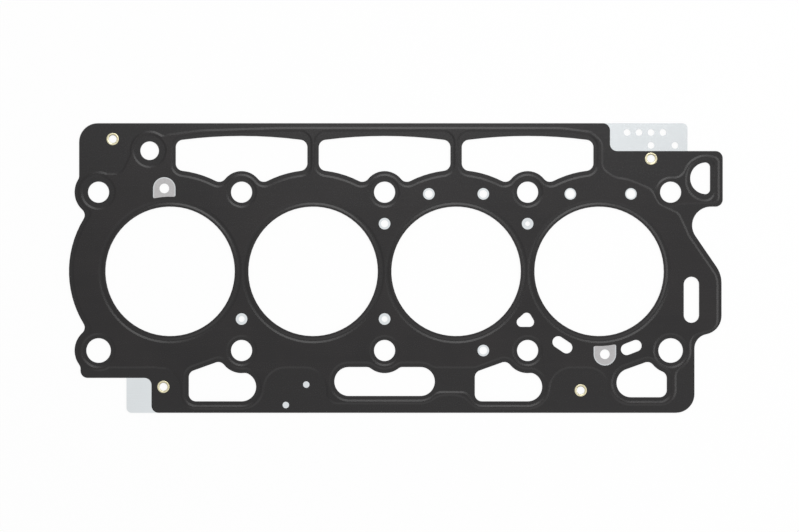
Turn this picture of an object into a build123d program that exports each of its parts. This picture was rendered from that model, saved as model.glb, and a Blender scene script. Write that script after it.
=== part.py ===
"""Multi-layer steel head gasket for an in-line four-cylinder engine.

The gasket lies flat in the XY plane.  X runs along the row of cylinders, +Y points to the side with
the three large windows, and Z = 0 is the face that lies on the engine block.  The origin is the
middle of the bolt pattern.  From the block upwards come a beaded sheet, a plain core sheet with a
welded stopper ring round each bore, and a second beaded sheet.  Four hollow rivets hold the stack.
All lengths are millimetres.
"""

from build123d import *

import os
from math import acos, atan2, degrees, pi, sin, tan

# Cylinders, head bolts and dowels
bore_dia = 76.0
bore_web = 8.0
bolt_row_reach = 8.5
bolt_hole_dia = 12.4
dowel_hole_dia = 14.4

# Sheets, from the block upwards
sheet_thick = 0.25
core_thick = 0.80
bead_height = 0.20

# Embossed beads: steps down to the core round the edge and the openings, grooves round the bores.
# A land is the width of the low strip between an edge and the middle of the bead's sloping flank.
flank_width = 1.2
groove_flat = 0.65
groove_reach = 2.72
edge_land = 2.4
top_land = 2.8
window_land = 3.0
window_lobe_land = 2.2
opening_land = 2.7
bolt_land = 2.4
dowel_land = 2.6
oil_land = 4.1
drain_land_drop = 1.4
ridge_width = 1.65
end_ridge_growth = 0.8
bead_radius = 6.5
bead_sweep = 13.0
bead_long_sweep = 50.0
field_drop = 9.9
bridge_rise = 24.4
bridge_left = 20.0
bridge_right = 24.0
crest_start = 41.5
crest_start_drop = 6.7
crest_bend = 60.0
crest_bend_drop = 4.2
crest_full = 106.0

# Stopper rings between the core and the upper sheet
stopper_thick = 0.12
stopper_width = 1.0
stopper_setback = 0.15

# Rivets
rivet_barrel_dia = 5.4
rivet_wall = 0.4
rivet_flange_dia = 7.2
rivet_flange_thick = 0.18
rivet_clearance = 0.05

# Places of the rivets: inwards from the end bolts, or past the fourth bolt for the low right one,
# and inwards from the edges
rivet_upper_left_inset = 8.3
rivet_upper_left_drop = 9.3
rivet_upper_right_inset = 11.5
rivet_upper_right_drop = 4.45
rivet_lower_left_inset = 38.1
rivet_lower_left_rise = 15.3
rivet_lower_right_reach = 31.2
rivet_lower_right_rise = 13.2

# Edges of the gasket, measured outwards from the bolt rows and from the end bolts
window_side_reach = 40.5
shelf_drop = 16.35
shelf_inset = 35.6
foot_side_reach = 36.6
pad_rise = 20.5
pad_inset = 31.1
pad_reach = 10.6
left_reach = 11.4
right_reach = 30.6
waist_reach = 29.9
foot_reach = 14.0
end_lobe_radius = 14.1
end_arc_reach = 21.4
corner_radius = 4.2
large_corner_radius = 11.0
waist_radius = 17.0

# Windows on the +Y side
window_gap = 6.7
window_rise = 33.0
window_roof_radius = 271.3
window_lobe_radius = 12.4
window_bore_reach = 21.5
window_corner_radius = 4.4

# Openings on the -Y side
opening_lobe_radius = 13.3
opening_slope = 0.36
middle_length = 59.0
middle_width = 17.0
middle_drop = 18.2
side_left = 31.0
side_right = 8.55
side_drop = 29.85
end_left = 31.75
end_right = 2.25
end_drop = 27.45
end_wall = 14.4
end_radius = 8.5

# Holes
coolant_hole_dia = 6.8
coolant_slot_width = 6.8
coolant_corner_radius = 2.8
web_hole_drop = 18.5
web_metering_dia = 3.5
wide_web_metering_dia = 4.3
narrow_web_metering_dia = 2.8
row_hole_drop = 1.0
row_hole_reach = 16.0
end_hole_reach_left = 16.9
end_hole_reach_right = 18.7
row_metering_dia = 4.6
end_metering_dia = 5.4
coolant_slot_left = 18.0
coolant_slot_right = 22.9
coolant_slot_rise = 5.0
end_slot_left = 25.8
end_slot_right = 20.4
oil_hole_dia = 10.9
oil_hole_inset = 30.0
oil_hole_drop = 16.15
oil_slot_width = 9.0
oil_slot_spacing = 18.0
drain_hole_radius = 9.3
drain_flat = 2.35
drain_hole_reach = 20.8
drain_hole_rise = 8.15
pin_hole_dia = 3.8
pin_pitch = 12.0
pin_left = 46.0
pin_rise = 16.6
gauge_window_width = 13.2
gauge_window_reach = 48.7
gauge_window_base = 5.9
gauge_window_shift = 3.4
gauge_hole_dia = 5.7

# Bare tabs of the core
code_tab_length = 45.5
code_hole_dia = 3.9
code_hole_pitch = 7.03
code_hole_inset = 5.4
code_row_pitch = 7.6
code_middle = 24.1
small_tab_length = 14.7
tab_corner_radius = 3.0
tab_lap = 6.0

bore_r = bore_dia / 2
pitch = bore_dia + bore_web
row = bore_r + bolt_row_reach
bolt_x = [(i - 2) * pitch for i in range(5)]
bore_x = [(i - 1.5) * pitch for i in range(4)]
left_end = bolt_x[0]
right_end = bolt_x[-1]
top = row + window_side_reach
shelf = top - shelf_drop
bottom = -row - foot_side_reach
pad_edge = bottom + pad_rise
tab_edge = right_end - shelf_inset
field_top = top - top_land
field_floor = -row - field_drop
flank_angle = degrees(atan2(flank_width, bead_height))

core_base = sheet_thick + bead_height
core_top = core_base + core_thick
stack_top = core_top + bead_height + sheet_thick

web_y = row - web_hole_drop
oil_hole = (left_end + oil_hole_inset, top - oil_hole_drop)
drain_hole = (right_end + drain_hole_reach, row + drain_hole_rise)
rivets = [
    (left_end + rivet_upper_left_inset, top - rivet_upper_left_drop),
    (right_end - rivet_upper_right_inset, shelf - rivet_upper_right_drop),
    (left_end + rivet_lower_left_inset, bottom + rivet_lower_left_rise),
    (bolt_x[3] + rivet_lower_right_reach, bottom + rivet_lower_right_rise)]
pins = [(bolt_x[2] - pin_left - step, bottom + pin_rise - step) for step in (0, pin_pitch)]

# Coolant holes, with the size to which the core narrows each
coolant_holes = [
    (bolt_x[1], -web_y, web_metering_dia),
    (bolt_x[2], -web_y, web_metering_dia),
    (bolt_x[2], web_y, wide_web_metering_dia),
    (bolt_x[3], web_y, narrow_web_metering_dia),
    (bore_x[2] - row_hole_reach, row - row_hole_drop, row_metering_dia),
    (bore_x[2] + row_hole_reach, row - row_hole_drop, row_metering_dia),
    (bore_x[3] - end_hole_reach_left, row - row_hole_drop, end_metering_dia),
    (bore_x[3] + end_hole_reach_right, row - row_hole_drop, end_metering_dia),
    (bore_x[2] + row_hole_reach, -row, row_metering_dia)]


def rounded(corners):
    """A flat region from (x, y, radius) corners.  A radius too large for its sides is cut down."""
    points = [Vector(x, y) for x, y, _ in corners]
    count = len(points)
    back = [(points[i - 1] - points[i]).normalized() for i in range(count)]
    ahead = [(points[(i + 1) % count] - points[i]).normalized() for i in range(count)]
    side = [(points[(i + 1) % count] - points[i]).length for i in range(count)]
    half = [acos(max(-1.0, min(1.0, a.dot(b)))) / 2 for a, b in zip(back, ahead)]
    reach = [r / tan(h) if h < pi / 2 else 0.0 for (_, _, r), h in zip(corners, half)]
    room = [min(1.0, 0.999 * side[i] / max(1e-9, reach[i] + reach[(i + 1) % count])) for i in range(count)]
    reach = [reach[i] * min(room[i - 1], room[i]) for i in range(count)]
    edges = []
    for i in range(count):
        if reach[i]:
            radius = reach[i] * tan(half[i])
            middle = points[i] + (back[i] + ahead[i]).normalized() * (radius / sin(half[i]) - radius)
            begin = points[i] + back[i] * reach[i]
            edges.append(ThreePointArc(begin, middle, points[i] + ahead[i] * reach[i]))
        after = (i + 1) % count
        start = points[i] + ahead[i] * reach[i]
        finish = points[after] + back[after] * reach[after]
        if (finish - start).length > 1e-4:
            edges.append(Line(start, finish))
    return make_face(edges)


def softened(region, radius):
    """The region with its outward corners rounded."""
    return offset(offset(region, -radius), radius)


def filled(region, radius):
    """The region with its inward corners rounded."""
    return offset(offset(region, radius), -radius)


def disc(x, y, radius):
    return Pos(x, y) * Circle(radius)


def block(x1, y1, x2, y2):
    return Pos((x1 + x2) / 2, (y1 + y2) / 2) * Rectangle(abs(x2 - x1), abs(y2 - y1))


def slot(x1, y1, x2, y2, width):
    run = Vector(x2 - x1, y2 - y1)
    turn = degrees(atan2(run.Y, run.X))
    return Pos((x1 + x2) / 2, (y1 + y2) / 2) * Rot(0, 0, turn) * SlotCenterToCenter(run.length, width)


def prism(region, low, high):
    return Pos(0, 0, low) * extrude(region, amount=high - low)


# ---- outlines ----

def sheet_outline():
    edge = rounded([
        (left_end - left_reach, top, large_corner_radius),
        (tab_edge, top, corner_radius),
        (tab_edge, shelf, corner_radius),
        (right_end + right_reach, shelf, corner_radius),
        (right_end + right_reach, row - bolt_row_reach, corner_radius),
        (right_end + 2.8, row - bolt_row_reach, large_corner_radius),
        (right_end + waist_reach, -1.6, waist_radius),
        (right_end + waist_reach, -row + 11.7, large_corner_radius),
        (right_end + foot_reach, -row + 7.9, 2 * corner_radius),
        (right_end + foot_reach, bottom, large_corner_radius),
        (left_end + pad_inset, bottom, corner_radius),
        (left_end + pad_inset, pad_edge, corner_radius),
        (left_end - pad_reach, pad_edge, corner_radius),
        (left_end - pad_reach, -row, 0),
        (left_end, -row, 0),
        (left_end, row, 0),
        (left_end - left_reach, row, 0)])
    edge += disc(bore_x[0], 0, bore_r + end_arc_reach)
    edge += [disc(left_end, y, end_lobe_radius) for y in (row, -row)]
    return filled(edge, corner_radius)


def core_tabs():
    """The two places where the core shows past the sheets, each with a lap under them."""
    code_tab = rounded([
        (tab_edge - tab_lap, top, 0),
        (tab_edge + code_tab_length, top, tab_corner_radius),
        (tab_edge + code_tab_length, shelf - tab_lap, 0),
        (tab_edge - tab_lap, shelf - tab_lap, 0)])
    small_tab = rounded([
        (left_end + pad_inset - small_tab_length, bottom, tab_corner_radius),
        (left_end + pad_inset - small_tab_length, pad_edge + tab_lap, 0),
        (left_end + pad_inset + tab_lap, pad_edge + tab_lap, 0),
        (left_end + pad_inset + tab_lap, bottom, 0)])
    return [code_tab, small_tab]


# ---- openings through the whole stack ----

def window(middle, roof, side, arc, lobe):
    """A window over the bolt at x = middle under the roof region, grown by side, arc and lobe."""
    half = (pitch - window_gap) / 2 + side
    region = block(middle - half, row, middle + half, top) & roof
    region -= [disc(middle + s * pitch / 2, 0, bore_r + window_bore_reach - arc) for s in (-1, 1)]
    region -= disc(middle, row, window_lobe_radius - lobe)
    return softened(region, window_corner_radius + side)


def window_opening(middle):
    roof = disc(middle, row + window_rise - window_roof_radius, window_roof_radius)
    return window(middle, roof, 0, 0, 0)


def middle_opening():
    reach = (middle_length - middle_width) / 2
    region = slot(-reach, -row - middle_drop, reach, -row - middle_drop, middle_width)
    return softened(region - disc(0, -row, opening_lobe_radius), corner_radius)


def side_opening(bolt):
    """An opening below a bolt, with a slanted roof on its left and a round end on its right."""
    left = bolt - side_left
    right = bolt + side_right
    floor = -row - side_drop
    wall = floor + 2 * side_right
    region = rounded([
        (left, floor, corner_radius),
        (left, wall, corner_radius),
        (bolt, wall + side_left * opening_slope, 0),
        (bolt, wall, 0),
        (right, wall, side_right),
        (right, floor, side_right)])
    return softened(region - disc(bolt, -row, opening_lobe_radius), corner_radius)


def end_opening():
    left = right_end - end_left
    right = right_end - end_right
    floor = -row - end_drop
    region = rounded([
        (left, floor, end_radius),
        (left, floor + end_wall, end_radius),
        (right, floor + end_wall + (right - left) * opening_slope, 0),
        (right, floor, corner_radius)])
    return softened(region - disc(right_end, -row, opening_lobe_radius), corner_radius)


def side_openings():
    return [side_opening(bolt_x[1]), middle_opening(), side_opening(bolt_x[3]), end_opening()]


def drain_opening(grow):
    x, y = drain_hole
    reach = drain_hole_radius + grow
    region = disc(x, y, reach) & block(x - reach, y - reach, x + drain_flat + grow, y + reach)
    return softened(region, coolant_corner_radius + grow)


def coolant_slots():
    """The narrow slots and the teardrop that pass coolant beside the right bores."""
    x, y = bolt_x[3], -row
    small = [
        slot(x + coolant_slot_left, y + coolant_slot_rise, x + coolant_slot_right, y + 1.7, coolant_slot_width),
        slot(right_end - end_slot_left, y + 0.7, right_end - end_slot_right, y + 2.8, coolant_slot_width)]
    base = -web_y - 1.8
    drop = Polyline((x - 3.6, base), (x + 1.0, base), (x - 0.6, base + 2.7), close=True)
    return small + [offset(make_face(drop), coolant_corner_radius)]


def through_openings():
    bores = [disc(x, 0, bore_r) for x in bore_x]
    bolts = [disc(x, row, bolt_hole_dia / 2) for x in bolt_x]
    bolts += [disc(x, -row, bolt_hole_dia / 2) for x in bolt_x[1:4]]
    dowels = [disc(x, -row, dowel_hole_dia / 2) for x in (left_end, right_end)]
    slot_x, slot_y = right_end + 12.2, -row + 20.8
    oil = [disc(*oil_hole, oil_hole_dia / 2), drain_opening(0)]
    oil += [slot(slot_x, slot_y, slot_x, slot_y + oil_slot_spacing, oil_slot_width)]
    return bores + bolts + dowels + oil + side_openings() + coolant_slots() + [
        window_opening(x) for x in bolt_x[1:4]]


# ---- embossing of the sheets ----

def raised(region):
    """A low plateau with sloping flanks.  The region's edge runs along the middle of the flank."""
    solid = extrude(offset(region, flank_width / 2), amount=bead_height, taper=flank_angle)
    return solid if solid.center().Z > 0 else mirror(solid, about=Plane.XY)


def sunk(region):
    """A pocket that lowers the plateau to the land over the region, with flanks like raised."""
    return Pos(0, 0, bead_height) * mirror(raised(region), about=Plane.XY)


def opening_recesses():
    """The low strips round the side openings.  A bridge joins those of the middle and the third."""
    left, middle, right, end = [offset(opening, opening_land) for opening in side_openings()]
    bridge = block(bolt_x[2] + bridge_left, field_floor, bolt_x[3] - bridge_right, -row - bridge_rise)
    return [left, filled(middle + bridge + right, bead_radius), end]


def field():
    """The raised field of a sheet.  It stops short of the edge and of the low pads round the rivets."""
    region = rounded([
        (left_end + crest_start, top - crest_start_drop, bead_radius / 2),
        (left_end + crest_bend, top - crest_bend_drop, bead_long_sweep),
        (left_end + crest_full, field_top, bead_long_sweep),
        (bolt_x[3] + 20.0, field_top, bead_long_sweep),
        (tab_edge - 10.9, top - 5.2, bead_radius),
        (tab_edge - 4.6, top - 11.0, bead_radius),
        (tab_edge - 4.6, shelf - 10.1, bead_radius),
        (tab_edge + 2.6, row + 8.7, bead_sweep),
        (tab_edge + 11.1, row + 7.4, bead_sweep),
        (right_end - 11.5, row + 1.9, bead_radius),
        (right_end - 6.7, row - 6.9, bead_radius),
        (right_end + 4.8, row - 12.5, bead_radius),
        (right_end + 10.9, row - 25.9, bead_sweep),
        (right_end + waist_reach - edge_land, -3.6, bead_sweep),
        (right_end + waist_reach - edge_land, -row + 12.9, bead_radius),
        (right_end + foot_reach - edge_land, -row + 8.7, bead_radius),
        (right_end + foot_reach - edge_land, -row, 0),
        (right_end, field_floor, 0),
        (left_end, field_floor, 0),
        (left_end, row + 10.7, 0),
        (left_end + 13.5, row + 10.7, bead_radius),
        (left_end + 22.0, top - 12.0, 0)])
    region = filled(region + disc(*oil_hole, oil_hole_dia / 2 + oil_land + ridge_width), bead_radius / 2)
    left, middle, end = [offset(recess, ridge_width) for recess in opening_recesses()]
    margin = opening_land + ridge_width
    heel_x, heel_y = -middle_length / 2 - margin, -row - middle_drop - middle_width / 2 - margin
    middle += rounded([
        (heel_x, heel_y, bead_radius),
        (0, heel_y, 0),
        (0, -row - middle_drop, 0),
        (heel_x, -row - middle_drop, 0)])
    end += Pos(end_ridge_growth, 0) * end
    low_side = block(left_end, field_floor, right_end - end_left / 2, 0) + left + middle + end
    low_side = filled(low_side, bead_sweep)
    low_side += filled(end + disc(right_end, -row, end_lobe_radius - edge_land), bead_radius)
    left_side = block(left_end, -row, bore_x[0], row)
    left_side += disc(bore_x[0], 0, bore_r + end_arc_reach - edge_land)
    left_side += [disc(left_end, y, end_lobe_radius - edge_land) for y in (row, -row)]
    return region + low_side + filled(left_side, bead_radius / 2)


def island():
    """The separate plateau round the last bolt and the drain hole."""
    x, y = drain_hole
    roof = row + bolt_hole_dia / 2 + bolt_land
    wall = right_end + right_reach - edge_land
    region = disc(x, y, drain_hole_radius + edge_land + ridge_width)
    region += rounded([
        (right_end, roof, 0),
        (x, roof, 0),
        (wall, y, 0),
        (wall, row - bolt_row_reach + edge_land, bead_radius / 2),
        (right_end, row - bolt_row_reach + 1.5, 0)])
    region += disc(right_end, row, bolt_hole_dia / 2 + bolt_land)
    limit = block(right_end - bore_r, 0, wall, shelf - edge_land)
    return filled(softened(region & limit, bead_radius / 2), bead_radius)


def recesses(high_field):
    """Where the field drops back to the land: round the bolts, the windows and the oil openings."""
    roof = offset(high_field, -ridge_width)
    regions = [window(x, roof, edge_land, window_land, window_lobe_land) for x in bolt_x[1:4]]
    regions += opening_recesses()
    regions += [disc(x, y, bolt_hole_dia / 2 + bolt_land) for x in bolt_x[1:4] for y in (row, -row)]
    corners = [(left_end, row), (left_end, -row), (right_end, -row)]
    regions += [disc(x, y, dowel_hole_dia / 2 + dowel_land) for x, y in corners]
    regions += [disc(*oil_hole, oil_hole_dia / 2 + oil_land)]
    drain = drain_opening(edge_land)
    return regions + [drain + Pos(0, -drain_land_drop) * drain]


def bore_groove(x):
    """The ring-shaped bead that presses on the core all round a bore."""
    radius = bore_r + groove_reach
    low = groove_flat / 2
    high = low + flank_width
    section = Polyline((radius - low, 0), (radius + low, 0), (radius + high, bead_height),
                       (radius - high, bead_height), close=True)
    return Pos(x, 0) * revolve(Plane.XZ * make_face(section), Axis.Z)


def relief(outline):
    """The height that the embossing adds, as a solid on Z = 0."""
    high_field = field()
    solid = raised(high_field) + raised(island())
    solid -= [sunk(region) for region in recesses(high_field)]
    solid -= [bore_groove(x) for x in bore_x]
    return solid & prism(outline, -1, 1)


# ---- the pieces ----

def rivet_holes():
    return [disc(x, y, rivet_barrel_dia / 2 + rivet_clearance) for x, y in rivets]


def gauge_windows():
    """Two D-shaped windows, turned half round from each other, that bare the core."""
    x, y, half = bore_x[0] - gauge_window_shift, gauge_window_reach, gauge_window_width / 2
    region = disc(x, y, half) + block(x - half, 0, x + half, y)
    region = softened(region - disc(bore_x[0], 0, bore_r + gauge_window_base), 1.0)
    return [region, Rot(0, 0, 180) * region]


def bead_sheet(outline):
    """A beaded sheet with its land on Z = 0 and its field standing up."""
    form = relief(outline)
    sheet = prism(outline, 0, sheet_thick) + Pos(0, 0, sheet_thick) * form - form
    holes = through_openings() + rivet_holes() + gauge_windows()
    holes += [disc(x, y, coolant_hole_dia / 2) for x, y, _ in coolant_holes]
    holes += [disc(x, y, pin_hole_dia / 2) for x, y in pins]
    return sheet - [prism(hole, -1, 1) for hole in holes]


def core_sheet(outline):
    holes = through_openings() + rivet_holes()
    holes += [disc(x, y, size / 2) for x, y, size in coolant_holes]
    gauge_x = bore_x[0] - gauge_window_shift
    holes += [disc(s * gauge_x, s * gauge_window_reach, gauge_hole_dia / 2) for s in (-1, 1)]
    code_x, code_y = tab_edge + code_middle, top - code_hole_inset
    code = [(step, 0) for step in (-2, -1, 0, 1)] + [(step, code_row_pitch) for step in (0, 2)]
    holes += [disc(code_x + step * code_hole_pitch, code_y - drop, code_hole_dia / 2) for step, drop in code]
    plate = filled(outline + core_tabs(), 0.5)
    return prism(plate, core_base, core_top) - [prism(hole, -1, stack_top) for hole in holes]


def stopper_ring(x):
    inner = bore_r + stopper_setback
    return prism(disc(x, 0, inner + stopper_width) - disc(x, 0, inner), core_top, core_top + stopper_thick)


def rivet(x, y):
    """A hollow rivet.  Its flanges lie on the lands, so that they stay inside the sheets' fields."""
    low, high = bead_height - rivet_flange_thick, stack_top - bead_height + rivet_flange_thick
    barrel, flange = rivet_barrel_dia / 2, rivet_flange_dia / 2
    solid = prism(disc(x, y, barrel), low, high)
    solid += prism(disc(x, y, flange), low, low + rivet_flange_thick)
    solid += prism(disc(x, y, flange), high - rivet_flange_thick, high)
    return solid - prism(disc(x, y, barrel - rivet_wall), low - 1, high + 1)


outline = sheet_outline()
upper = Pos(0, 0, core_top) * bead_sheet(outline)
lower = mirror(upper, about=Plane.XY.offset(stack_top / 2))

parts = {"upper_bead_layer": upper, "core_layer": core_sheet(outline), "lower_bead_layer": lower}
for i, x in enumerate(bore_x, 1):
    parts[f"bore_stopper_ring_{i}"] = stopper_ring(x)
for i, (x, y) in enumerate(rivets, 1):
    parts[f"eyelet_rivet_{i}"] = rivet(x, y)

os.makedirs("parts", exist_ok=True)
for name, shape in parts.items():
    export_step(shape, f"parts/{name}.step")
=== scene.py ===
"""Finishes, rivets and stage of a multi-layer steel head gasket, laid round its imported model."""

from math import cos, pi, sin, tau

import bmesh
import bpy
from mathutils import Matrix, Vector


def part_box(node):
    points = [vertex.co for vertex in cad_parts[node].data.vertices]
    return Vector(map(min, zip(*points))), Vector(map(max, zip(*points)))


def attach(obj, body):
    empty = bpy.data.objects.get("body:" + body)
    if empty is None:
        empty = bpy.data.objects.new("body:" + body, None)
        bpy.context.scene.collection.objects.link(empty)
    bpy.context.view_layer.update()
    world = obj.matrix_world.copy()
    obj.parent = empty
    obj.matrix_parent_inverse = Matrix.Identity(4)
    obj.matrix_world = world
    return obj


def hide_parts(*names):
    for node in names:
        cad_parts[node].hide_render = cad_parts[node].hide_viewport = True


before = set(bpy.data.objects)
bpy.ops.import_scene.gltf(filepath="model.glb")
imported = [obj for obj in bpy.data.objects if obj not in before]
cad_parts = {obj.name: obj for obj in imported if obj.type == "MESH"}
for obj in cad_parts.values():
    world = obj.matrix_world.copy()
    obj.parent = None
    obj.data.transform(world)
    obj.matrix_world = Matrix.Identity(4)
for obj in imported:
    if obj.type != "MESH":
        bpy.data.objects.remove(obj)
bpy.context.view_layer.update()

bl_info = {
    "name": "Head gasket finishes",
    "version": (1, 0, 0),
    "blender": (4, 5, 0),
    "location": "3D View > Sidebar > Gasket",
    "description": "Coats the sheets of a head gasket, sets its rivets and lights it on a white table",
    "category": "Object"}

MM = 0.001
SHEETS = ("upper_bead_layer", "lower_bead_layer")
CORE = "core_layer"
RINGS = tuple(name for name in sorted(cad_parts) if name.startswith("bore_stopper_ring"))
RIVETS = tuple(name for name in sorted(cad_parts) if name.startswith("eyelet_rivet"))
STACK_LOW, STACK_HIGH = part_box(SHEETS[1])[0].z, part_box(SHEETS[0])[1].z
STACK_MIDDLE = (STACK_LOW + STACK_HIGH) / 2
LAND_STEP = 0.2 * MM
COAT_SPECULAR = 0.27
TONE_FADE = 0.8 * MM
TONE_REACH = 9 * MM
WALL_LIFT = 0.4
WHITE = (1.0, 1.0, 1.0, 1.0)
TABLE_WHITE = (0.9, 0.9, 0.9, 1.0)
TABLE_GAP = 0.1 * MM
TABLE_GLOW = 0.9
LAMP_HEIGHT = 1.5
MIDDLE = (0.0, 0.0, 0.0)


# ---- sizes and colours that a user would change ----

class GasketFinishes(bpy.types.PropertyGroup):
    """Colours and surface sizes of the gasket's materials"""
    coat_dark: bpy.props.FloatVectorProperty(
        name="Coating, darker patches", description="Colour of the rubber coating where it is thickest",
        subtype="COLOR", size=3, min=0, max=1, default=(0.0075, 0.0068, 0.0073))
    coat_light: bpy.props.FloatVectorProperty(
        name="Coating, paler patches", description="Colour of the rubber coating where it is thinnest",
        subtype="COLOR", size=3, min=0, max=1, default=(0.0136, 0.0117, 0.0120))
    coat_land: bpy.props.FloatVectorProperty(
        name="Coating on the lands",
        description="Colour of the low strips beside the beads, polished by the die",
        subtype="COLOR", size=3, min=0, max=1, default=(0.0106, 0.0097, 0.0101))
    coat_roughness: bpy.props.FloatProperty(
        name="Coating roughness", description="Gloss of the rubber coating", min=0, max=1, default=0.26)
    coat_grain: bpy.props.FloatProperty(
        name="Coating grain", description="Size of the grain of the coating",
        subtype="DISTANCE", unit="LENGTH", min=0.0001, max=0.01, default=0.0006)
    cut_steel: bpy.props.FloatVectorProperty(
        name="Punched edges", description="Colour of the bare steel where the punch went through",
        subtype="COLOR", size=3, min=0, max=1, default=(0.30, 0.30, 0.31))
    core_steel: bpy.props.FloatVectorProperty(
        name="Core steel", description="Colour of the bright rolled steel of the core's tabs",
        subtype="COLOR", size=3, min=0, max=1, default=(0.690, 0.722, 0.738))
    core_steel_dull: bpy.props.FloatVectorProperty(
        name="Core steel, dull streaks", description="Colour of the streaks along the rolling direction",
        subtype="COLOR", size=3, min=0, max=1, default=(0.630, 0.650, 0.664))
    # The core inside the two D-shaped gauge windows gets a darker, mottled steel colour of its own.
    core_window_tone: bpy.props.FloatVectorProperty(
        name="Film in the gauge windows",
        description="Colour of the dull film on the core in the D-shaped windows",
        subtype="COLOR", size=3, min=0, max=1, default=(0.490, 0.480, 0.484))
    gauge_along: bpy.props.FloatProperty(
        name="Gauge windows, along",
        description="How far the D-shaped windows lie from the middle, along the bores",
        subtype="DISTANCE", unit="LENGTH", default=0.1294)
    gauge_across: bpy.props.FloatProperty(
        name="Gauge windows, across",
        description="How far the middles of their round ends lie from the row of bores",
        subtype="DISTANCE", unit="LENGTH", default=0.0487)
    gauge_half: bpy.props.FloatProperty(
        name="Gauge windows, half width", description="Half the width of a D-shaped window",
        subtype="DISTANCE", unit="LENGTH", default=0.0066)
    core_roughness: bpy.props.FloatProperty(
        name="Core roughness", description="Gloss of the rolled steel", min=0, max=1, default=0.12)
    ring_steel: bpy.props.FloatVectorProperty(
        name="Stopper ring steel", description="Colour of the stopper rings",
        subtype="COLOR", size=3, min=0, max=1, default=(0.62, 0.62, 0.63))
    rivet_plating: bpy.props.FloatVectorProperty(
        name="Rivet plating", description="Colour of the plated rivets",
        subtype="COLOR", size=3, min=0, max=1, default=(0.57, 0.52, 0.335))
    rivet_plating_worn: bpy.props.FloatVectorProperty(
        name="Rivet plating, worn", description="Colour where the setting tool has rubbed the plating",
        subtype="COLOR", size=3, min=0, max=1, default=(0.61, 0.575, 0.42))
    # The rivet throat colour is painted shade: it darkens the inner lip of each rivet's hollow on its +Y
    # side.
    rivet_throat_shade: bpy.props.FloatVectorProperty(
        name="Rivet throat", description="Colour of the stretched plating inside the hollow of a rivet",
        subtype="COLOR", size=3, min=0, max=1, default=(0.13, 0.10, 0.045))


class GasketRivets(bpy.types.PropertyGroup):
    """Sizes of the hollow rivets"""
    wall: bpy.props.FloatProperty(
        name="Wall", description="Wall of the barrel of a rivet",
        subtype="DISTANCE", unit="LENGTH", default=0.0004)
    barrel: bpy.props.FloatProperty(
        name="Barrel radius", description="Outer radius of the barrel of a rivet",
        subtype="DISTANCE", unit="LENGTH", default=0.0027)
    flange: bpy.props.FloatProperty(
        name="Flange thickness", description="Height of the rolled flange over the land that it holds",
        subtype="DISTANCE", unit="LENGTH", default=0.00018)
    lip: bpy.props.FloatProperty(
        name="Lip", description="Width of the rolled lip between the hollow and the flat of the flange",
        subtype="DISTANCE", unit="LENGTH", default=0.0005)
    steps: bpy.props.IntProperty(
        name="Steps round", description="How many faces go round a rivet", min=24, max=128, default=72)


class GasketStage(bpy.types.PropertyGroup):
    """The table, the lamps and the camera"""
    aim_x: bpy.props.FloatProperty(
        name="Aim X", description="Where along the row of bores the camera looks",
        subtype="DISTANCE", unit="LENGTH", default=0.00876)
    aim_y: bpy.props.FloatProperty(
        name="Aim Y", description="Where across the gasket the camera looks",
        subtype="DISTANCE", unit="LENGTH", default=0.00314)
    camera_height: bpy.props.FloatProperty(
        name="Camera height", description="Height of the camera over the table",
        subtype="DISTANCE", unit="LENGTH", default=1.6)
    view_width: bpy.props.FloatProperty(
        name="Width in view", description="Width of the table that fills the picture",
        subtype="DISTANCE", unit="LENGTH", default=0.4692)
    table_size: bpy.props.FloatProperty(
        name="Table size", description="Side of the white table",
        subtype="DISTANCE", unit="LENGTH", default=6.0)
    room_strength: bpy.props.FloatProperty(
        name="Room light", description="Brightness of the white room", min=0, max=5, default=0.5)
    key_power: bpy.props.FloatProperty(
        name="Key lamp", description="Power of the broad lamp behind the window side, in watts",
        min=0, max=2000, default=7.3)
    side_power: bpy.props.FloatProperty(
        name="Side lamp", description="Power of the weaker lamp past the end with the oil slot, in watts",
        min=0, max=2000, default=6.4)
    corner_power: bpy.props.FloatProperty(
        name="Corner lamp", description="Power of the small lamp between the other two, in watts",
        min=0, max=2000, default=2.4)
    fill_power: bpy.props.FloatProperty(
        name="Fill lamp", description="Power of the weak broad lamp behind the far side, in watts",
        min=0, max=2000, default=2.0)


# ---- node helpers ----

def put(tree, kind, sockets=None, **settings):
    """Adds a node, sets its settings, and fills its sockets with values or with other nodes' outputs."""
    node = tree.nodes.new(kind)
    for name, value in settings.items():
        setattr(node, name, value)
    for key, value in (sockets or {}).items():
        if isinstance(value, bpy.types.NodeSocket):
            tree.links.new(value, node.inputs[key])
        else:
            node.inputs[key].default_value = value
    return node


def blank_material(name):
    """A new material with one plain shader: (material, tree, shader)."""
    material = bpy.data.materials.new(name)
    material.use_nodes = True
    tree = material.node_tree
    tree.nodes.clear()
    shader = put(tree, "ShaderNodeBsdfPrincipled")
    put(tree, "ShaderNodeOutputMaterial", {"Surface": shader.outputs["BSDF"]})
    return material, tree, shader


def maths(tree, operation, first, second=0.0):
    """One sum of two numbers, each a socket or a plain number."""
    return put(tree, "ShaderNodeMath", {0: first, 1: second}, operation=operation).outputs[0]


def rescale(tree, value, low, high, to_low, to_high):
    """The value moved from one range into another, and held at its ends."""
    sockets = {"Value": value, "From Min": low, "From Max": high, "To Min": to_low, "To Max": to_high}
    return put(tree, "ShaderNodeMapRange", sockets).outputs["Result"]


def blend(tree, factor, first, second):
    """A colour between two colours, each a socket or a plain colour."""
    node = put(tree, "ShaderNodeMix", {0: factor}, data_type="RGBA")
    for key, value in ((6, first), (7, second)):
        if isinstance(value, bpy.types.NodeSocket):
            tree.links.new(value, node.inputs[key])
        else:
            node.inputs[key].default_value = (*value, 1.0)
    return node.outputs[2]


def places(tree, stretch=(1.0, 1.0, 1.0)):
    """Places on the object in metres, stretched along the axes."""
    where = put(tree, "ShaderNodeTexCoord").outputs["Object"]
    return put(tree, "ShaderNodeMapping", {"Vector": where, "Scale": stretch}).outputs["Vector"]


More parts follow.
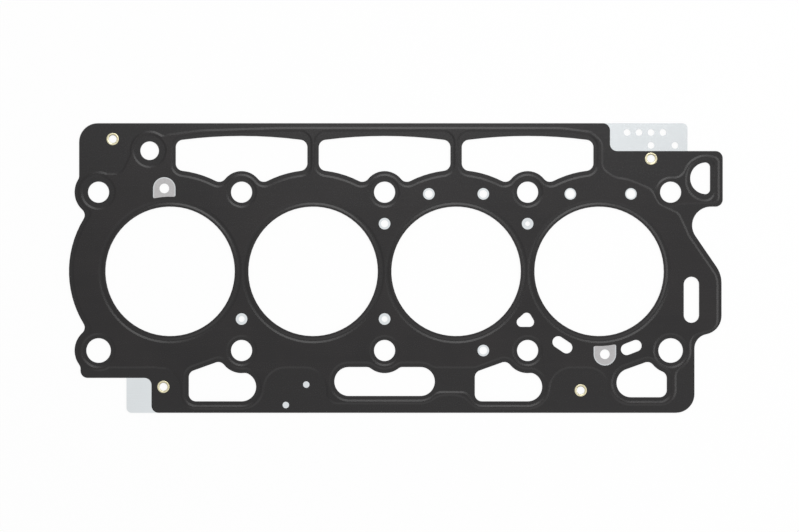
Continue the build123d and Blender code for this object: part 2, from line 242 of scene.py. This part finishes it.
def noise(tree, where, size, detail=4.0, roughness=0.55):
    """Noise whose patches are about size metres across."""
    sockets = {"Vector": where, "Scale": 1.0 / size, "Detail": detail, "Roughness": roughness}
    return put(tree, "ShaderNodeTexNoise", sockets).outputs["Fac"]


def seen_rays(tree):
    """1 on the rays that look, or that mirror or glass sends on, and 0 on the rays that light."""
    rays = put(tree, "ShaderNodeLightPath").outputs
    mirrored = maths(tree, "MAXIMUM", rays["Is Glossy Ray"], rays["Is Transmission Ray"])
    return maths(tree, "MAXIMUM", rays["Is Camera Ray"], mirrored)


def bump(tree, height, depth):
    """Small unevenness of the surface, depth metres deep at most."""
    sockets = {"Height": height, "Distance": depth, "Strength": 1.0}
    return put(tree, "ShaderNodeBump", sockets).outputs["Normal"]


def upright(tree):
    """1 on walls that stand up and 0 on faces that lie flat."""
    normal = put(tree, "ShaderNodeNewGeometry").outputs["True Normal"]
    lift = put(tree, "ShaderNodeSeparateXYZ", {"Vector": normal}).outputs["Z"]
    return maths(tree, "LESS_THAN", maths(tree, "ABSOLUTE", lift), WALL_LIFT)


def dress(names, material):
    """Gives the named nodes one material."""
    for name in names:
        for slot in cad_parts[name].material_slots:
            slot.material = material


# ---- finishes ----

def rubber_coating(finish):
    """A thin satin rubber coat with paler patches, and bare steel at the punched edges."""
    material, tree, shader = blank_material("rubber_coating")
    where = places(tree)
    patches = rescale(tree, noise(tree, where, 0.045, 5.0), 0.3, 0.7, 0.0, 1.0)
    grain = noise(tree, where, finish.coat_grain, 3.0, 0.6)
    streaks = noise(tree, places(tree, (0.06, 1.0, 1.0)), 0.004, 3.0)
    coat = blend(tree, patches, finish.coat_dark, finish.coat_light)
    height = put(tree, "ShaderNodeSeparateXYZ", {"Vector": where}).outputs["Z"]
    from_middle = maths(tree, "ABSOLUTE", maths(tree, "SUBTRACT", height, STACK_MIDDLE))
    half = (STACK_HIGH - STACK_LOW) / 2
    land = rescale(tree, from_middle, half - LAND_STEP, half, 1.0, 0.0)
    coat = blend(tree, land, coat, finish.coat_land)
    edge = upright(tree)
    colour = blend(tree, edge, coat, finish.cut_steel)
    tree.links.new(colour, shader.inputs["Base Color"])
    tree.links.new(maths(tree, "MULTIPLY", edge, 0.9), shader.inputs["Metallic"])
    grain_gloss = rescale(tree, grain, 0.3, 0.7, -0.03, 0.03)
    streak_gloss = rescale(tree, streaks, 0.3, 0.7, -0.01, 0.01)
    gloss = maths(tree, "ADD", grain_gloss, streak_gloss)
    gloss = maths(tree, "ADD", gloss, finish.coat_roughness)
    tree.links.new(gloss, shader.inputs["Roughness"])
    tree.links.new(bump(tree, grain, 0.000012), shader.inputs["Normal"])
    shader.inputs["Specular IOR Level"].default_value = COAT_SPECULAR
    return material


def gauge_windows(tree, finish):
    """1 on the core inside the two D-shaped windows, which are turned half round from each other."""
    along, across, _ = put(tree, "ShaderNodeSeparateXYZ", {"Vector": places(tree)}).outputs
    turn = rescale(tree, maths(tree, "GREATER_THAN", along, 0.0), 0.0, 1.0, 1.0, -1.0)
    outwards = maths(tree, "MULTIPLY", across, turn)
    side = maths(tree, "SUBTRACT", maths(tree, "ABSOLUTE", along), finish.gauge_along)
    crown = maths(tree, "MAXIMUM", maths(tree, "SUBTRACT", outwards, finish.gauge_across), 0.0)
    squares = maths(tree, "ADD", maths(tree, "MULTIPLY", side, side), maths(tree, "MULTIPLY", crown, crown))
    reach = maths(tree, "SQRT", squares)
    tone = rescale(tree, reach, finish.gauge_half - TONE_FADE, finish.gauge_half, 1.0, 0.0)
    above_foot = maths(tree, "GREATER_THAN", outwards, finish.gauge_across - TONE_REACH)
    return maths(tree, "MULTIPLY", tone, above_foot)


def rolled_steel(finish):
    """Bright rolled steel with fine lines along the sheet, and darker, mottled steel in the two gauge
    windows.
    """
    material, tree, shader = blank_material("rolled_core_steel")
    lines = noise(tree, places(tree, (0.02, 1.0, 1.0)), 0.00035, 4.0, 0.65)
    patches = rescale(tree, noise(tree, places(tree), 0.02, 4.0), 0.3, 0.7, 0.0, 1.0)
    streak = rescale(tree, lines, 0.3, 0.7, 0.0, 0.6)
    steel = blend(tree, maths(tree, "MULTIPLY", streak, patches), finish.core_steel, finish.core_steel_dull)
    mottle = rescale(tree, noise(tree, places(tree), 0.0009), 0.35, 0.65, 0.0, 1.0)
    # Darker, mottled steel inside the two gauge windows.
    tone = blend(tree, mottle, tuple(0.9 * part for part in finish.core_window_tone), finish.core_window_tone)
    steel = blend(tree, gauge_windows(tree, finish), steel, tone)
    edge = upright(tree)
    tree.links.new(blend(tree, edge, steel, finish.cut_steel), shader.inputs["Base Color"])
    rough = maths(tree, "ADD", rescale(tree, lines, 0.3, 0.7, -0.02, 0.02), finish.core_roughness)
    tree.links.new(rough, shader.inputs["Roughness"])
    tree.links.new(bump(tree, lines, 0.0000008), shader.inputs["Normal"])
    shader.inputs["Metallic"].default_value = 1.0
    return material


def ring_steel(finish):
    """Ground steel with circular lines, which show only at the inner edge of a bore."""
    material, tree, shader = blank_material("stopper_ring_steel")
    grain = noise(tree, places(tree), 0.0004, 4.0)
    dull = tuple(c * 0.8 for c in finish.ring_steel)
    tree.links.new(blend(tree, grain, finish.ring_steel, dull), shader.inputs["Base Color"])
    tree.links.new(rescale(tree, grain, 0.3, 0.7, 0.28, 0.42), shader.inputs["Roughness"])
    tree.links.new(bump(tree, grain, 0.000004), shader.inputs["Normal"])
    shader.inputs["Metallic"].default_value = 1.0
    return material


def rivet_plating(finish, sizes):
    """Pale yellow plating, rubbed paler in patches by the setting tool, with painted shade on the +Y side of
    the inner lip of the hollow.
    """
    material, tree, shader = blank_material("rivet_plating")
    where = places(tree)
    flat = put(tree, "ShaderNodeVectorMath", {0: where, 1: (1.0, 1.0, 0.0)}, operation="MULTIPLY").outputs[0]
    radius = put(tree, "ShaderNodeVectorMath", {0: flat}, operation="LENGTH").outputs["Value"]
    inner = sizes.barrel - sizes.wall
    open_flange = rescale(tree, radius, inner + 0.4 * sizes.lip, inner + sizes.lip, 0.0, 1.0)
    rubbed = rescale(tree, noise(tree, where, 0.0012, 4.0), 0.38, 0.62, 0.0, 1.0)
    fine = noise(tree, where, 0.00018, 3.0)
    plated = blend(tree, rubbed, finish.rivet_plating, finish.rivet_plating_worn)
    # Painted shade: the inner lip of the hollow is darkened towards +Y, standing in for the shadow that
    # falls down the hole.
    across = put(tree, "ShaderNodeSeparateXYZ", {"Vector": where}).outputs["Y"]
    shadowed = rescale(tree, across, 0.2 * inner, 0.8 * inner, 0.0, 1.0)
    throat = maths(tree, "MULTIPLY", shadowed, rescale(tree, open_flange, 0.0, 1.0, 1.0, 0.0))
    tree.links.new(blend(tree, throat, plated, finish.rivet_throat_shade), shader.inputs["Base Color"])
    tree.links.new(rescale(tree, rubbed, 0.0, 1.0, 0.21, 0.15), shader.inputs["Roughness"])
    tree.links.new(bump(tree, fine, 0.000003), shader.inputs["Normal"])
    shader.inputs["Metallic"].default_value = 1.0
    return material


# ---- rivets ----

def rolled_profile(low, high, radius, sizes):
    """The section of a hollow rivet as (radius, height) points, with both ends rolled over."""
    inner = sizes.barrel - sizes.wall
    turns = 8
    quarter = [pi / 2 * i / turns for i in range(turns + 1)]
    lip = [(inner + sizes.lip * (1 - cos(a)), high - sizes.lip * (1 - sin(a))) for a in quarter]
    rim = [(radius - sizes.flange * (1 - sin(a)), high - sizes.flange * (1 - cos(a))) for a in quarter]
    over = lip + rim
    under = [(r, low + high - z) for r, z in reversed(over)]
    return over + [(sizes.barrel, high - sizes.flange), (sizes.barrel, low + sizes.flange)] + under


def spun(name, profile, centre, steps):
    """A closed ring-shaped piece made by turning a closed section about an upright line at centre."""
    mesh = bpy.data.meshes.new(name)
    form = bmesh.new()
    rings = []
    for i in range(steps):
        turn = tau * i / steps
        rings.append([form.verts.new((r * cos(turn), r * sin(turn), z)) for r, z in profile])
    count = len(profile)
    for i in range(steps):
        here, after = rings[i], rings[(i + 1) % steps]
        for j in range(count):
            k = (j + 1) % count
            form.faces.new((here[j], after[j], after[k], here[k]))
    bmesh.ops.recalc_face_normals(form, faces=form.faces)
    for face in form.faces:
        face.smooth = True
    form.to_mesh(mesh)
    form.free()
    piece = bpy.data.objects.new(name, mesh)
    piece.location = (*centre, 0.0)
    bpy.context.scene.collection.objects.link(piece)
    return piece


# ---- operators ----

class GASKET_OT_coat_sheets(bpy.types.Operator):
    """Gives the two beaded sheets their rubber coating"""
    bl_idname = "gasket.coat_sheets"
    bl_label = "Coat the beaded sheets"

    def execute(self, context):
        dress(SHEETS, rubber_coating(context.scene.gasket_finishes))
        return {"FINISHED"}


class GASKET_OT_finish_core(bpy.types.Operator):
    """Gives the core sheet and its tabs their rolled steel finish"""
    bl_idname = "gasket.finish_core"
    bl_label = "Finish the core sheet"

    def execute(self, context):
        dress((CORE,), rolled_steel(context.scene.gasket_finishes))
        return {"FINISHED"}


class GASKET_OT_finish_rings(bpy.types.Operator):
    """Gives the stopper rings their ground finish"""
    bl_idname = "gasket.finish_rings"
    bl_label = "Finish the stopper rings"

    def execute(self, context):
        dress(RINGS, ring_steel(context.scene.gasket_finishes))
        return {"FINISHED"}


class GASKET_OT_set_rivets(bpy.types.Operator):
    """Sets the four hollow rivets, with rolled flanges, where the plain ones are"""
    bl_idname = "gasket.set_rivets"
    bl_label = "Set the rivets"

    def execute(self, context):
        sizes = context.scene.gasket_rivets
        plating = rivet_plating(context.scene.gasket_finishes, sizes)
        for number, name in enumerate(RIVETS, 1):
            low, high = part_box(name)
            centre = ((low.x + high.x) / 2, (low.y + high.y) / 2)
            profile = rolled_profile(low.z, high.z, (high.x - low.x) / 2, sizes)
            piece = spun(f"rolled_rivet_{number}", profile, centre, sizes.steps)
            piece.data.materials.append(plating)
            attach(piece, "root")
            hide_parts(name)
        return {"FINISHED"}


class GASKET_OT_set_stage(bpy.types.Operator):
    """Lays the gasket on a white table, with its lamps and its camera"""
    bl_idname = "gasket.set_stage"
    bl_label = "Set the stage"

    def execute(self, context):
        stage = context.scene.gasket_stage
        lay_table(stage)
        light_room(context.scene, stage)
        place_camera(context.scene, stage)
        context.scene.view_settings.view_transform = "Standard"
        return {"FINISHED"}


def lay_table(stage):
    """A white table.  The camera sees it nearly white, and it keeps the gasket's shadow."""
    half = stage.table_size / 2
    mesh = bpy.data.meshes.new("table")
    corners = [(-half, -half), (half, -half), (half, half), (-half, half)]
    mesh.from_pydata([(x, y, STACK_LOW - TABLE_GAP) for x, y in corners], [], [(0, 1, 2, 3)])
    table = bpy.data.objects.new("table", mesh)
    bpy.context.scene.collection.objects.link(table)
    material, tree, shader = blank_material("white_table")
    shader.inputs["Base Color"].default_value = TABLE_WHITE
    shader.inputs["Roughness"].default_value = 0.6
    glow = put(tree, "ShaderNodeEmission", {"Color": WHITE, "Strength": 1.0})
    seen = maths(tree, "MULTIPLY", seen_rays(tree), TABLE_GLOW)
    mixed = put(tree, "ShaderNodeMixShader", {
        0: seen, 1: shader.outputs["BSDF"], 2: glow.outputs["Emission"]})
    output = next(node for node in tree.nodes if node.type == "OUTPUT_MATERIAL")
    tree.links.new(mixed.outputs["Shader"], output.inputs["Surface"])
    mesh.materials.append(material)


def lamp(name, along, across, aim, width, height, power):
    """A rectangular lamp over the place along and across, turned to its aim on the table."""
    at = (along, across, LAMP_HEIGHT)
    data = bpy.data.lights.new(name, "AREA")
    data.shape = "RECTANGLE"
    data.size, data.size_y, data.energy = width, height, power
    made = bpy.data.objects.new(name, data)
    made.location = at
    made.rotation_euler = (Vector(aim) - Vector(at)).to_track_quat("-Z", "Y").to_euler()
    bpy.context.scene.collection.objects.link(made)
    return made


def light_room(scene, stage):
    """A white room with three lamps round one corner and a weak one opposite them."""
    world = bpy.data.worlds.new("white_room")
    world.use_nodes = True
    tree = world.node_tree
    tree.nodes.clear()
    room = put(tree, "ShaderNodeBackground", {"Color": WHITE, "Strength": stage.room_strength})
    seen = put(tree, "ShaderNodeBackground", {"Color": WHITE, "Strength": 1.0})
    mixed = put(tree, "ShaderNodeMixShader", {
        0: seen_rays(tree), 1: room.outputs["Background"], 2: seen.outputs["Background"]})
    put(tree, "ShaderNodeOutputWorld", {"Surface": mixed.outputs["Shader"]})
    scene.world = world
    lamp("key_lamp", 0.03, 0.67, (0.03, 0.0, 0.0), 0.6, 0.85, stage.key_power)
    lamp("side_lamp", 1.05, 0.0, MIDDLE, 1.2, 0.4, stage.side_power)
    lamp("corner_lamp", 0.78, 0.64, MIDDLE, 0.45, 0.45, stage.corner_power)
    lamp("fill_lamp", 0.1, -0.62, MIDDLE, 1.1, 0.6, stage.fill_power)


def place_camera(scene, stage):
    """A camera that looks straight down, as far off as the width in view needs."""
    data = bpy.data.cameras.new("camera")
    data.sensor_width = 36.0
    data.lens = data.sensor_width * (stage.camera_height - STACK_HIGH) / stage.view_width
    data.clip_start, data.clip_end = 0.01, 20.0
    camera = bpy.data.objects.new("camera", data)
    camera.location = (stage.aim_x, stage.aim_y, stage.camera_height)
    scene.collection.objects.link(camera)
    scene.camera = camera


# ---- panel and registration ----

STEPS = (GASKET_OT_coat_sheets, GASKET_OT_finish_core, GASKET_OT_finish_rings, GASKET_OT_set_rivets,
         GASKET_OT_set_stage)


class GASKET_PT_sidebar(bpy.types.Panel):
    """The gasket's operators and settings"""
    bl_label = "Head gasket"
    bl_space_type = "VIEW_3D"
    bl_region_type = "UI"
    bl_category = "Gasket"

    def draw(self, context):
        for step in STEPS:
            self.layout.operator(step.bl_idname)
        scene = context.scene
        for group in (scene.gasket_finishes, scene.gasket_rivets, scene.gasket_stage):
            column = self.layout.column()
            for name in group.bl_rna.properties.keys():
                if name not in ("rna_type", "name"):
                    column.prop(group, name)


CLASSES = (GasketFinishes, GasketRivets, GasketStage, *STEPS, GASKET_PT_sidebar)


def register():
    for each in CLASSES:
        bpy.utils.register_class(each)
    bpy.types.Scene.gasket_finishes = bpy.props.PointerProperty(type=GasketFinishes)
    bpy.types.Scene.gasket_rivets = bpy.props.PointerProperty(type=GasketRivets)
    bpy.types.Scene.gasket_stage = bpy.props.PointerProperty(type=GasketStage)


def unregister():
    del bpy.types.Scene.gasket_finishes, bpy.types.Scene.gasket_rivets, bpy.types.Scene.gasket_stage
    for each in reversed(CLASSES):
        bpy.utils.unregister_class(each)


def main():
    register()
    bpy.ops.gasket.coat_sheets()
    bpy.ops.gasket.finish_core()
    bpy.ops.gasket.finish_rings()
    bpy.ops.gasket.set_rivets()
    bpy.ops.gasket.set_stage()


if __name__ == "__main__":
    main()
